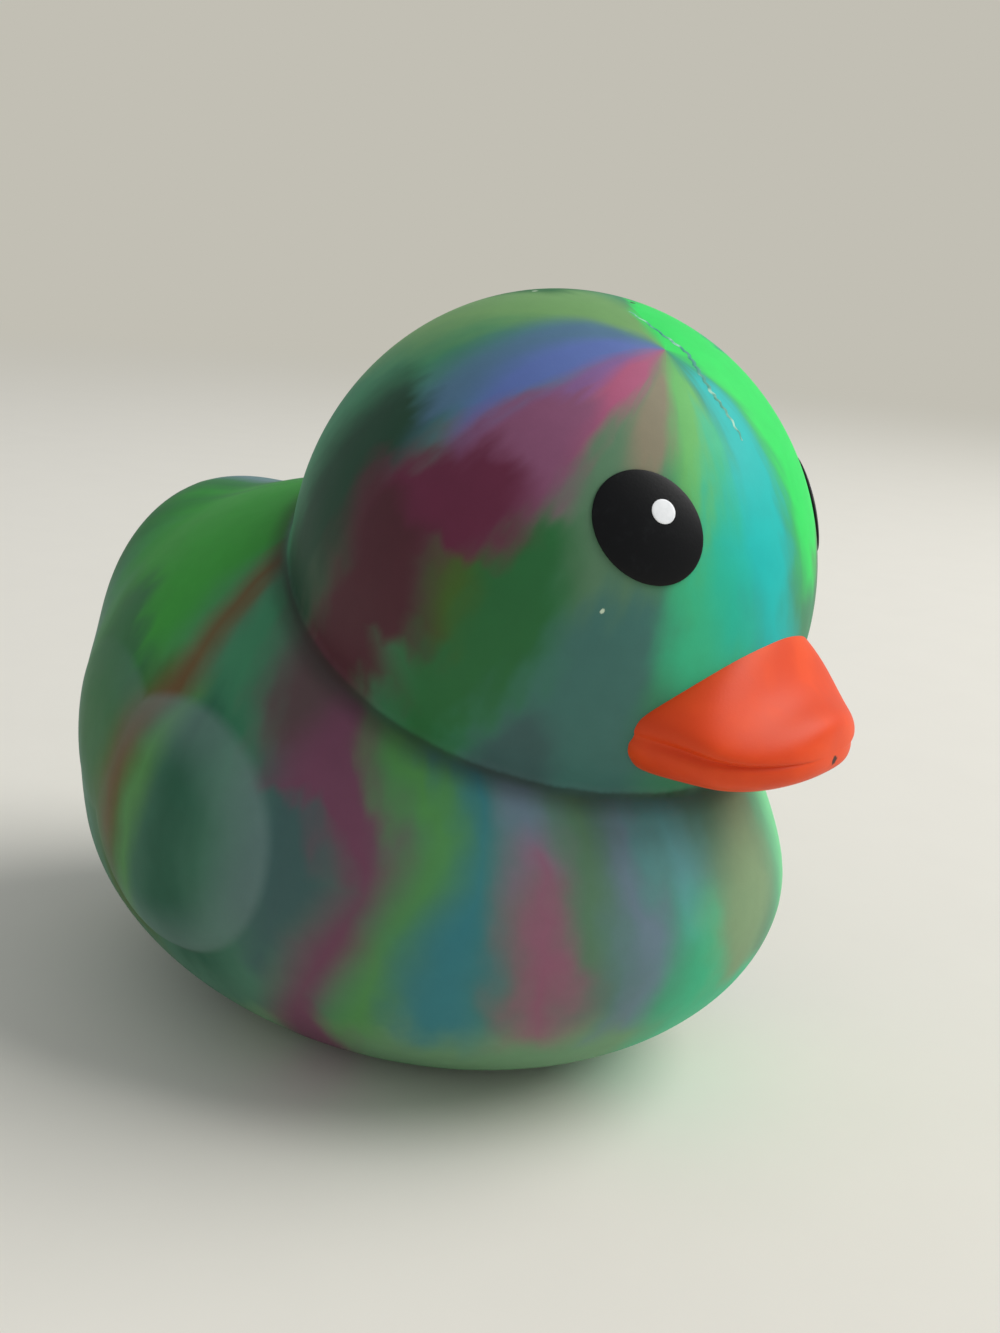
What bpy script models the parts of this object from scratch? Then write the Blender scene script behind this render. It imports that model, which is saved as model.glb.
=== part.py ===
"""Squishy toy duck: a soft moulded body with a separate bill and two domed oval eyes.

The duck faces -Y and stands on its flat base at z = 0, with the base's centre at the origin.
"""

import math

import bmesh
import bpy
from mathutils import Matrix, Vector

# Head: an ellipsoid that overhangs the breast.
HEAD_WIDTH = 0.0520
HEAD_DEPTH = 0.0530
HEAD_HEIGHT = 0.0550
HEAD_CENTRE_Y = -0.0141
HEAD_CENTRE_Z = 0.0508

# Body: two half ellipsoids that meet at the waist, swept back above it and cut flat where it stands.
BODY_WIDTH = 0.0667
BODY_LENGTH = 0.0831
BODY_WAIST_Z = 0.0214
BODY_RISE = 0.0350
BODY_DEPTH = 0.0251
BODY_SWEEP = 0.28

# Tail: a broad lobe that leans back as it rises out of the body.
TAIL_WIDTH = 0.0460
TAIL_LENGTH = 0.0612
TAIL_THICKNESS = 0.0359
TAIL_CENTRE_Y = 0.0217
TAIL_CENTRE_Z = 0.0254
TAIL_LEAN = math.radians(26)

# Skin: the grid the forms are fused on, and how far the blends are softened.
SKIN_STEP = 0.0012
BLEND_PASSES = 30
NECK_PASSES = 4
SKIN_FACETS = 7600

# Wings: low pillows on the flanks, as ellipses in the side view (y, z, half sizes, slope). They
# swell from a soft crease to their full height over the roll, and their relief fades rearward,
# between two places along y, to a share of what it is in front.
WING_RELIEF = 0.0015
WING_ROLL = 0.0065
WING_EDGE = 0.0010
WING_FADE = (0.005, 0.024)
WING_REAR = 0.20
WING_LOBES = (
    (0.0061, 0.0253, 0.0142, 0.0124, math.radians(0)),
    (0.0203, 0.0307, 0.0115, 0.0086, math.radians(6)),
)

# Eyes: domed ovals, seated on the head by their direction from its centre.
EYE_AZIMUTH = math.radians(37.3)
EYE_ELEVATION = math.radians(19.5)
EYE_LENGTH = 0.0110
EYE_BREADTH = 0.0091
EYE_TILT = math.radians(42)
EYE_RISE = 0.0008
EYE_SPOKES = 40

# Bill: a gabled upper half over a thinner lower lip, rooted inside the head's front.
BILL_REACH = 0.0062
BILL_ROOT = 0.0105
BILL_HALF_WIDTH = 0.0147
BILL_MOUTH_Z = 0.0412
BILL_RISE = 0.0090
BILL_DROP = 0.0046
BILL_EDGE = 0.0013
MOUTH_GROOVE = 0.0013
MOUTH_GAP = 0.0010

# Clearance between a piece and the seat it follows.
SEAT_GAP = 0.0003


def clear_scene():
    for old in list(bpy.data.objects):
        bpy.data.objects.remove(old, do_unlink=True)


def new_collection(name, helper=False):
    collection = bpy.data.collections.new(name)
    collection.hide_render = helper
    bpy.context.scene.collection.children.link(collection)
    return collection


def material(name, colour, roughness):
    made = bpy.data.materials.new(name)
    made.use_nodes = True
    shader = made.node_tree.nodes["Principled BSDF"]
    shader.inputs["Base Color"].default_value = (*colour, 1.0)
    shader.inputs["Roughness"].default_value = roughness
    shader.inputs["Metallic"].default_value = 0.0
    return made


def object_from(name, form, collection, surface=None):
    mesh = bpy.data.meshes.new(name)
    form.to_mesh(mesh)
    form.free()
    made = bpy.data.objects.new(name, mesh)
    collection.objects.link(made)
    if surface:
        mesh.materials.append(surface)
    return made


def helper_from(name, form, collection):
    made = object_from(name, form, collection)
    made.hide_render = True
    made.display_type = "WIRE"
    return made


def ellipsoid(size, segments=64, rings=32):
    form = bmesh.new()
    bmesh.ops.create_uvsphere(form, u_segments=segments, v_segments=rings, radius=0.5)
    bmesh.ops.scale(form, vec=size, verts=form.verts)
    return form


def boolean(target, other, operation):
    modifier = target.modifiers.new(operation.title(), "BOOLEAN")
    modifier.operation = operation
    modifier.object = other
    modifier.solver = "EXACT"
    return modifier


def refit(target, passes):
    """Fuse the target's forms on the skin's grid and soften their creases."""
    grid = target.modifiers.new("Skin", "REMESH")
    grid.mode = "VOXEL"
    grid.voxel_size = SKIN_STEP
    soft = target.modifiers.new("Soften", "SMOOTH")
    soft.factor = 0.5
    soft.iterations = passes


def baked(target):
    """The target's mesh with its modifiers worked in."""
    bpy.context.view_layer.update()
    graph = bpy.context.evaluated_depsgraph_get()
    return bpy.data.meshes.new_from_object(target.evaluated_get(graph))


def ease(value):
    value = min(max(value, 0.0), 1.0)
    return value * value * (3.0 - 2.0 * value)


def lobe_depth(lobe, y, z):
    """How far inside a lobe's outline a point lies, in metres, negative outside."""
    centre_y, centre_z, long_half, short_half, slope = lobe
    along = (y - centre_y) * math.cos(slope) + (z - centre_z) * math.sin(slope)
    across = (z - centre_z) * math.cos(slope) - (y - centre_y) * math.sin(slope)
    return (1.0 - math.hypot(along / long_half, across / short_half)) * short_half


def wing_height(y, z):
    """Share of the wing's relief at a point of the side view: a pillow that fades to the rear."""
    depth = max(lobe_depth(lobe, y, z) for lobe in WING_LOBES)
    crease = ease((depth + WING_EDGE) / (2 * WING_EDGE))
    swell = min(max((depth + WING_EDGE) / WING_ROLL, 0.0), 1.0)
    rearward = ease((y - WING_FADE[0]) / (WING_FADE[1] - WING_FADE[0]))
    return crease * (1.0 - (1.0 - swell) ** 2.4) * (1.0 - (1.0 - WING_REAR) * rearward)


def head_surface(ray):
    """(point, outward normal) where a ray from the head's centre leaves the head."""
    half = Vector((HEAD_WIDTH, HEAD_DEPTH, HEAD_HEIGHT)) / 2
    offset = ray / math.sqrt(sum((ray[i] / half[i]) ** 2 for i in range(3)))
    normal = Vector([offset[i] / half[i] ** 2 for i in range(3)]).normalized()
    return offset + Vector((0, HEAD_CENTRE_Y, HEAD_CENTRE_Z)), normal


def head_point(azimuth, elevation):
    """The head's surface in a direction given by its angle from the front and its angle up."""
    return head_surface(Vector((
        math.sin(azimuth) * math.cos(elevation),
        -math.cos(azimuth) * math.cos(elevation),
        math.sin(elevation),
    )))


def build_body(parts, helpers, surface):
    hull_form = ellipsoid((BODY_WIDTH, BODY_LENGTH, 2.0))
    for vertex in hull_form.verts:
        vertex.co.z *= BODY_RISE if vertex.co.z > 0 else BODY_DEPTH
        vertex.co.y += BODY_SWEEP * max(vertex.co.z, 0.0)
    bmesh.ops.translate(hull_form, vec=(0, 0, BODY_WAIST_Z), verts=hull_form.verts)
    hull = helper_from("hull_form", hull_form, helpers)

    tail_form = ellipsoid((TAIL_WIDTH, TAIL_THICKNESS, TAIL_LENGTH))
    lean = Matrix.Rotation(-TAIL_LEAN, 3, "X")
    bmesh.ops.rotate(tail_form, cent=(0, 0, 0), matrix=lean, verts=tail_form.verts)
    bmesh.ops.translate(
        tail_form, vec=(0, TAIL_CENTRE_Y, TAIL_CENTRE_Z), verts=tail_form.verts
    )
    tail = helper_from("tail_form", tail_form, helpers)

    head = helper_from("head_form", ellipsoid((HEAD_WIDTH, HEAD_DEPTH, HEAD_HEIGHT)), helpers)
    head.location = (0, HEAD_CENTRE_Y, HEAD_CENTRE_Z)

    boolean(hull, tail, "UNION")
    refit(hull, BLEND_PASSES)
    boolean(hull, head, "UNION")
    refit(hull, NECK_PASSES)

    mesh = baked(hull)
    mesh.name = "body"
    body = bpy.data.objects.new("body", mesh)
    parts.objects.link(body)
    mesh.materials.clear()
    mesh.materials.append(surface)

    wings = body.vertex_groups.new(name="wings")
    for vertex in mesh.vertices:
        height = wing_height(vertex.co.y, vertex.co.z)
        if height > 0:
            wings.add([vertex.index], height, "REPLACE")
    relief = body.modifiers.new("Wings", "DISPLACE")
    relief.vertex_group = "wings"
    relief.direction = "NORMAL"
    relief.mid_level = 0.0
    relief.strength = WING_RELIEF

    fewer = body.modifiers.new("Facets", "DECIMATE")
    fewer.ratio = SKIN_FACETS / (2 * len(mesh.polygons))

    floor_form = bmesh.new()
    bmesh.ops.create_cube(floor_form, size=1.0)
    depth = BODY_DEPTH
    bmesh.ops.scale(
        floor_form, vec=(2 * BODY_WIDTH, 2 * BODY_LENGTH, depth), verts=floor_form.verts
    )
    bmesh.ops.translate(floor_form, vec=(0, 0, -depth / 2), verts=floor_form.verts)
    boolean(body, helper_from("base_cut", floor_form, helpers), "DIFFERENCE")
    return body


def seat_cutter(helpers):
    """The head's form grown by the seat gap, which hollows whatever sits on the head."""
    grown = [size + 2 * SEAT_GAP for size in (HEAD_WIDTH, HEAD_DEPTH, HEAD_HEIGHT)]
    cutter = helper_from("head_seat", ellipsoid(grown, 96, 48), helpers)
    cutter.location = (0, HEAD_CENTRE_Y, HEAD_CENTRE_Z)
    return cutter


def build_eye(name, side, parts, seat, surface):
    """A low domed oval that wraps the head, on the side whose sign is given."""
    point, normal = head_point(side * EYE_AZIMUTH, EYE_ELEVATION)
    across = Vector((0, 0, 1)).cross(normal).normalized()
    tilt = side * EYE_TILT
    long_axis = across * math.cos(tilt) + normal.cross(across) * math.sin(tilt)
    short_axis = normal.cross(long_axis)
    centre = Vector((0, HEAD_CENTRE_Y, HEAD_CENTRE_Z))

    form = bmesh.new()
    spokes = [2 * math.pi * i / EYE_SPOKES for i in range(EYE_SPOKES)]
    # Share of the oval's radius and of its rise, from the buried back to the crown.
    loops = []
    for share, rise in ((1.0, -2.0), (1.0, 0.5), (0.98, 0.66), (0.93, 0.78), (0.8, 0.9), (0.5, 0.97)):
        loop = []
        for angle in spokes:
            flat = point + share * (
                long_axis * math.cos(angle) * EYE_LENGTH / 2
                + short_axis * math.sin(angle) * EYE_BREADTH / 2
            )
            on_head, outward = head_surface(flat - centre)
            loop.append(form.verts.new(on_head + outward * EYE_RISE * rise))
        loops.append(loop)
    for low, high in zip(loops, loops[1:]):
        for i in range(EYE_SPOKES):
            j = (i + 1) % EYE_SPOKES
            form.faces.new((low[i], low[j], high[j], high[i]))
    crown = form.verts.new(point + normal * EYE_RISE)
    foot = form.verts.new(point - normal * 2 * EYE_RISE)
    for i in range(EYE_SPOKES):
        j = (i + 1) % EYE_SPOKES
        form.faces.new((loops[-1][i], loops[-1][j], crown))
        form.faces.new((loops[0][j], loops[0][i], foot))
    bmesh.ops.recalc_face_normals(form, faces=form.faces)
    eye = object_from(name, form, parts, surface)
    boolean(eye, seat, "DIFFERENCE")
    return eye


def bill_ring(width, top, mouth, under, groove_share, arch):
    """A station's outline, from the top of the bill round by its right side and underside."""
    groove = groove_share * min(MOUTH_GROOVE, 0.2 * width)
    edge = mouth + BILL_EDGE * (top - mouth) / BILL_RISE
    gap = MOUTH_GAP * (top - mouth) / BILL_RISE
    drop = mouth - under
    half = [
        (width * x, edge + (top - edge) * (1.0 - x ** arch) ** (1.0 / arch))
        for x in (0.3, 0.58, 0.82, 0.96, 1.0)
    ]
    half += [
        (width - 0.1 * groove, mouth + 0.3 * gap),
        (width - groove, mouth),
        (width - 0.45 * groove, mouth - 0.6 * gap),
        (0.985 * width - 0.3 * groove, mouth - 0.32 * drop),
        (0.87 * width, under + 0.28 * drop),
        (0.58 * width, under + 0.05 * drop),
    ]
    return [(0.0, top), *half, (0.0, under), *((-x, z) for x, z in reversed(half))]


def build_bill(parts, seat, surface):
    """A loft of stations along the bill, from inside the head to the rounded tip."""
    # Shares: length, half width, rise, fall of the mouth line, drop, mouth groove; then the arch.
    stations = (
        (0.000, 1.000, 1.22, 0.000, 1.16, 0.0, 1.30),
        (0.300, 0.990, 1.22, 0.026, 1.15, 0.1, 1.30),
        (0.470, 0.965, 1.22, 0.052, 1.08, 0.6, 1.30),
        (0.600, 0.920, 1.17, 0.104, 0.98, 1.0, 1.22),
        (0.700, 0.850, 0.73, 0.147, 0.86, 1.0, 1.20),
        (0.790, 0.740, 0.54, 0.173, 0.74, 1.0, 1.33),
        (0.870, 0.610, 0.46, 0.182, 0.62, 1.0, 1.50),
        (0.935, 0.470, 0.40, 0.182, 0.50, 1.0, 1.65),
        (0.980, 0.310, 0.33, 0.182, 0.38, 0.8, 1.80),
        (1.000, 0.140, 0.20, 0.173, 0.22, 0.5, 1.80),
    )
    front = HEAD_CENTRE_Y - HEAD_DEPTH / 2
    form = bmesh.new()
    loops = []
    for share, wide, rise, fall, drop, groove, arch in stations:
        y = front + BILL_ROOT - share * (BILL_ROOT + BILL_REACH)
        mouth = BILL_MOUTH_Z - fall * BILL_RISE
        ring = bill_ring(
            BILL_HALF_WIDTH * wide,
            mouth + BILL_RISE * rise,
            mouth,
            mouth - BILL_DROP * drop,
            groove,
            arch,
        )
        loops.append([form.verts.new((x, y, z)) for x, z in ring])
    count = len(loops[0])
    for near, far in zip(loops, loops[1:]):
        for i in range(count):
            j = (i + 1) % count
            form.faces.new((near[i], near[j], far[j], far[i]))
    form.faces.new(loops[0])
    form.faces.new(loops[-1])
    bmesh.ops.recalc_face_normals(form, faces=form.faces)
    bill = object_from("beak", form, parts, surface)
    soft = bill.modifiers.new("Soft", "SUBSURF")
    soft.levels = 1
    soft.render_levels = 1
    boolean(bill, seat, "DIFFERENCE")
    return bill


def main():
    clear_scene()
    parts = new_collection("squishy_duck")
    helpers = new_collection("squishy_duck_helpers", helper=True)
    marbled = material("marbled_silicone", (0.10, 0.36, 0.24), 0.55)
    orange = material("orange_silicone", (0.84, 0.14, 0.05), 0.5)
    black = material("black_silicone", (0.012, 0.013, 0.018), 0.45)
    build_body(parts, helpers, marbled)
    seat = seat_cutter(helpers)
    build_eye("eye_right", -1, parts, seat, black)
    build_eye("eye_left", 1, parts, seat, black)
    build_bill(parts, seat, orange)


main()
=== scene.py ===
import math

import bmesh
import bpy
from mathutils import Matrix, Vector


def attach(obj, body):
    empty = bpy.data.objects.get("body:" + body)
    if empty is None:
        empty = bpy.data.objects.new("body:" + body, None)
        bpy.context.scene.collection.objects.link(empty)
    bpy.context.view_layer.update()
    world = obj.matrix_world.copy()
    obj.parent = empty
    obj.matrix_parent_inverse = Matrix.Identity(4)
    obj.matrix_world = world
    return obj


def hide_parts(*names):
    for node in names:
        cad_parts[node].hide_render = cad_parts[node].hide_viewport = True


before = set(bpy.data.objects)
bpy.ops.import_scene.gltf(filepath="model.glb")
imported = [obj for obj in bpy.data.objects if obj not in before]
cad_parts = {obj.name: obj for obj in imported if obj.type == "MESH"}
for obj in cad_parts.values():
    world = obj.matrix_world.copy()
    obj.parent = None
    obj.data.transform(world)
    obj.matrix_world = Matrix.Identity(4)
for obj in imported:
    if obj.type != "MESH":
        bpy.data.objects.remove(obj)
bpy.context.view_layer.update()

# Head, body and tail: the forms that the skin is fused from, in metres.
HEAD_SIZE = Vector((0.0520, 0.0530, 0.0550))
HEAD_CENTRE = Vector((0.0, -0.0141, 0.0508))
BODY_WIDTH = 0.0667
BODY_LENGTH = 0.0831
BODY_WAIST_Z = 0.0214
BODY_RISE = 0.0350
BODY_DEPTH = 0.0251
BODY_SWEEP = 0.28
TAIL_SIZE = Vector((0.0460, 0.0359, 0.0612))
TAIL_CENTRE = Vector((0.0, 0.0217, 0.0254))
TAIL_LEAN = math.radians(26)

# The skin is fused coarsely to soften the tail into the body, then finely at the neck.
BLEND_STEP = 0.0012
BLEND_PASSES = 30
SKIN_STEP = 0.00056
NECK_PASSES = 4
SKIN_SINK = 0.00009

# Wings: low pillows, raised over lobes in the side view (y, z, half sizes, slope). Their relief
# rises over a short edge, rolls on inward and fades to the share WING_REAR towards the tail.
WING_RELIEF = 0.0015
WING_ROLL = 0.0065
WING_EDGE = 0.0010
WING_FADE = (0.005, 0.024)
WING_REAR = 0.20
WING_SWELL = 2.4
# The band along the wings' front that is lightened with painted highlight: its edge, its fade
# towards the tail, its share at the rear, and its strength.
RIM_EDGE = (-0.0004, 0.0006)
RIM_FADE = (0.004, 0.024)
RIM_REAR = 0.15
RIM_HIGHLIGHT_SHARE = 0.5
WING_LOBES = (
    (0.0061, 0.0253, 0.0142, 0.0124, 0.0),
    (0.0203, 0.0307, 0.0115, 0.0086, math.radians(6)),
)

# Eyes and the white spot painted on each.
EYE_AZIMUTH = math.radians(37.3)
EYE_ELEVATION = math.radians(19.5)
EYE_LENGTH = 0.0110
EYE_BREADTH = 0.0091
EYE_TILT = math.radians(42)
EYE_RISE = 0.00035
EYE_LIP = 0.25
EYE_SPOKES = 96
SPOT_RADIUS = 0.00106
SPOT_STRETCH = (1.04, 0.98)
SPOT_SPOKES = 40
SPOT_INWARD = 0.0011
SPOT_UP = 0.0013
SPOT_RISE = 0.00005

# Bill: a loft that is softened, then hollowed by the head.
BILL_REACH = 0.0062
BILL_ROOT = 0.0105
BILL_HALF_WIDTH = 0.0147
BILL_MOUTH_Z = 0.0412
BILL_RISE = 0.0090
BILL_DROP = 0.0046
BILL_EDGE = 0.0013
MOUTH_GROOVE = 0.0013
MOUTH_GAP = 0.0010
BILL_BED = 0.0004
BILL_SOFTENING = 3
BILL_PASSES = 10
BILL_CREASE = math.radians(50)
# Shares: length, half width, rise, fall of the mouth line, drop, mouth groove; then the arch.
BILL_STATIONS = (
    (0.000, 1.000, 1.22, 0.000, 1.16, 0.0, 1.30),
    (0.300, 0.990, 1.22, 0.026, 1.15, 0.3, 1.30),
    (0.470, 0.965, 1.22, 0.052, 1.08, 1.0, 1.32),
    (0.600, 0.920, 1.17, 0.104, 0.98, 1.0, 1.32),
    (0.700, 0.850, 0.72, 0.147, 0.86, 1.0, 1.45),
    (0.790, 0.740, 0.53, 0.173, 0.74, 1.0, 1.60),
    (0.870, 0.610, 0.46, 0.182, 0.62, 1.0, 1.70),
    (0.935, 0.470, 0.40, 0.182, 0.50, 1.0, 1.75),
    (0.980, 0.310, 0.33, 0.182, 0.38, 0.8, 1.80),
    (1.000, 0.140, 0.20, 0.173, 0.22, 0.5, 1.80),
)

# The mould's flash over the brow: places it runs through, and its largest half width and height.
FLASH_RUN = (
    (-0.0031, -0.0222, 0.0768),
    (-0.0033, -0.0260, 0.0750),
    (-0.0027, -0.0285, 0.0736),
    (-0.0034, -0.0303, 0.0722),
    (-0.0038, -0.0321, 0.0705),
    (-0.0035, -0.0336, 0.0690),
    (-0.0032, -0.0354, 0.0666),
)
FLASH_HALF_WIDTH = 0.00030
FLASH_HEIGHT = 0.00009
FLASH_FOOT = 0.00004
FLASH_WANDER = 0.00012
FLASH_STEPS = 12
# Across the ridge: share of its half width, then share of its height, or of its foot's depth.
FLASH_SECTION = ((-1.0, -1.0), (-0.5, 0.7), (0.0, 1.0), (0.5, 0.7), (1.0, -1.0))

# The gate on the crown, from which the colours were drawn out over the head.
# Within GATE_BLEND degrees of it the colours run together, by GATE_SPREAD degrees at the gate.
GATE = Vector((-0.186, -0.497, 0.848)).normalized()
GATE_BLEND = 11.0
GATE_SPREAD = 34.0

# The upright axis that the body's streaks are set round: its place along y.
STREAK_AXIS_Y = 0.002

# How the streaks' edges waver, in degrees: long teeth, with fray on them. Then how far the teeth
# are drawn out, and how deep they are, on the head and on the body.
TEETH_TURNS = 9.0
TEETH_DEPTH = 13.0
FRAY_SCALE = 2.6
FRAY_DEPTH = 3.6
HEAD_WAVER = (0.075, 0.75)
BODY_WAVER = (0.15, 0.45)

# The neck crease in sizes of the head: where the colours change over, and where painted shade
# darkens the crease.
COLOUR_CHANGE = (1.005, 1.04)
CREASE_SHADE_BEGIN = (1.001, 1.012)
CREASE_SHADE_END = (1.018, 1.11)
CREASE_SHADE_SHARE = 0.6

# Radius of the floor, and where it begins to run out into the backdrop.
FLOOR_RADIUS = 1.2
FLOOR_FADE = 0.25

# The window lamp and the room's fill.
WINDOW_PLACE = (0.66, -0.80, 1.08)
WINDOW_AIM = (0.0, 0.0, 0.04)
WINDOW_SIZE = 1.20
WINDOW_POWER = 18.6
WINDOW_COLOUR = (1.0, 0.99, 0.97)
FILL_COLOUR = (0.95, 0.97, 1.0, 1.0)
FILL_STRENGTH = 0.46

# The photograph's viewpoint: place, directions to the right and back, and focal length in pixels.
CAMERA_PLACE = Vector((-0.1245, -0.0981, 0.0799))
CAMERA_RIGHT = Vector((0.5984, -0.7971, 0.0815))
CAMERA_BACK = Vector((-0.7854, -0.5634, 0.2563))
FOCAL_PIXELS = 1511.4
PICTURE_HEIGHT = 1333
SENSOR_HEIGHT = 36.0

# Colours of the marbling and the small pieces, as sRGB.
PALETTE = {
    "sea": (60, 136, 96),
    "sage": (76, 128, 104),
    "moss": (112, 160, 96),
    "slate_blue": (80, 116, 144),
    "violet": (90, 112, 174),
    "mauve": (128, 94, 148),
    "pink": (172, 84, 120),
    "magenta": (136, 82, 114),
    "plum": (104, 38, 66),
    "maroon": (80, 36, 46),
    "forest": (24, 68, 46),
    "stone": (134, 126, 102),
    "grey_green": (90, 130, 98),
    "leaf": (40, 110, 58),
    "olive": (68, 104, 38),
    "teal_grey": (66, 116, 108),
    "slate": (64, 98, 96),
    "fern": (98, 182, 94),
    "mint": (54, 186, 136),
    "aqua": (28, 184, 154),
    "cyan": (0, 186, 180),
    "teal": (36, 148, 124),
    "neon": (42, 218, 94),
    "pale_green": (110, 202, 140),
    "bright_green": (48, 150, 46),
    "brown": (106, 78, 40),
    "dark_teal": (30, 92, 68),
    "plum_grey": (92, 72, 74),
    "rosewood": (116, 68, 92),
    "sea_blue": (52, 128, 136),
    "rose": (150, 92, 116),
    "lilac": (108, 130, 146),
    "wheat": (124, 152, 112),
    "grass": (82, 148, 78),
    "pale_blue": (92, 158, 160),
    "pale_sage": (108, 152, 112),
    "orange": (240, 82, 24),
    "deep_orange": (206, 54, 12),
    "bill_nick": (58, 22, 12),
    "black": (6, 7, 9),
    "dust": (26, 28, 30),
    "white": (247, 249, 251),
    "worn_white": (222, 226, 229),
    # Dark grime for the small nick on the crown, and painted shade for the neck crease.
    "grime_and_crease_shade": (34, 40, 30),
    # Pale tone of the thin flash, partly its own and partly painted highlight.
    "flash": (158, 214, 190),
    "speck": (206, 222, 196),
    # Painted highlight along the front of the wings.
    "painted_wing_highlight": (114, 140, 136),
    "floor": (230, 227, 217),
    "backdrop": (194, 191, 180),
}

# Streaks on the head, drawn out from the gate: colour, softness, then stations of degrees from the
# gate and the streak's two edges, in degrees round it from the front, positive to the duck's left.
HEAD_STREAKS = (
    ("moss", 13.5, ((0, -215, -150), (25, -205, -150), (50, -200, -152), (66, -188, -160),
        (80, -182, -168))),
    ("slate_blue", 11, ((0, -160, -122), (15, -158, -122), (30, -142, -116), (42, -134, -112),
        (54, -128, -113), (62, -122, -116))),
    ("violet", 8, ((0, -145, -100), (10, -136, -102), (20, -131, -104), (32, -124, -106),
        (44, -114, -106))),
    ("mauve", 7, ((0, -112, -84), (12, -110, -86), (25, -106, -88), (36, -108, -90),
        (48, -110, -98))),
    ("forest", 9.5, ((50, -140, -118), (58, -140, -112), (75, -138, -108), (90, -136, -112),
        (112, -135, -110))),
    ("stone", 8, ((0, -66, -34), (12, -67, -42), (24, -70, -42), (32, -68, -50))),
    ("grey_green", 8, ((24, -78, -66), (34, -80, -58), (46, -80, -46), (56, -66, -40),
        (66, -58, -42))),
    ("pink", 7, ((0, -98, -72), (10, -98, -68), (18, -93, -71), (25, -91, -76), (32, -89, -78),
        (38, -88, -82))),
    ("magenta", 8, ((24, -98, -80), (32, -106, -78), (39, -108, -75), (45, -108, -74),
        (50, -106, -78), (56, -108, -82))),
    ("leaf", 7, ((48, -78, -66), (56, -86, -62), (66, -92, -60), (74, -88, -61), (84, -88, -63),
        (92, -86, -69), (104, -84, -72))),
    ("olive", 5.5, ((60, -92, -84), (65, -93, -80), (70, -91, -80), (78, -85, -79))),
    ("plum", 8, ((44, -104, -82), (51, -110, -79), (56, -113, -82), (60, -118, -84),
        (63, -118, -91), (68, -117, -93), (74, -112, -90))),
    ("maroon", 8, ((64, -117, -94), (71, -115, -90), (77, -113, -84), (82, -114, -84),
        (87, -113, -90), (93, -113, -86), (100, -113, -90), (112, -116, -86))),
    ("teal_grey", 8, ((54, -52, -38), (64, -60, -36), (76, -62, -36), (92, -66, -30),
        (112, -66, -20))),
    ("slate", 5.5, ((84, -62, -54), (92, -66, -50), (112, -68, -50))),
    ("fern", 8, ((3, -50, -12), (15, -44, -16), (28, -42, -20), (40, -36, -26), (52, -34, -28))),
    ("mint", 7, ((16, -24, -8), (28, -29, -12), (40, -32, -14), (52, -38, -20), (64, -38, -10),
        (75, -30, 10))),
    ("aqua", 7, ((30, -24, -14), (42, -29, -12), (54, -27, -14), (62, -24, -12))),
    ("teal", 7, ((2, -14, 30), (14, -16, 22), (26, -10, 10))),
    ("cyan", 8, ((10, -8, 18), (22, -12, 14), (32, -16, 11), (42, -20, 5), (52, -15, 2),
        (60, -12, 2), (72, -8, 6))),
    ("neon", 9, ((0, 30, 158), (12, 24, 156), (25, 17, 134), (40, 11, 82), (50, 10, 72),
        (58, 12, 66))),
    ("grey_green", 6, ((56, 22, 58), (80, 24, 70), (112, 20, 66))),
    ("teal", 6, ((26, 84, 110), (40, 84, 112), (75, 78, 118), (115, 82, 120))),
    ("plum", 4, ((36, 112, 130), (46, 112, 134), (60, 108, 128), (78, 106, 126),
        (96, 111, 122))),
    ("violet", 6, ((34, 132, 150), (46, 134, 154), (64, 134, 147))),
    ("leaf", 6, ((30, 150, 177), (60, 146, 180), (90, 151, 177), (118, 148, 174))),
)

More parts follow.
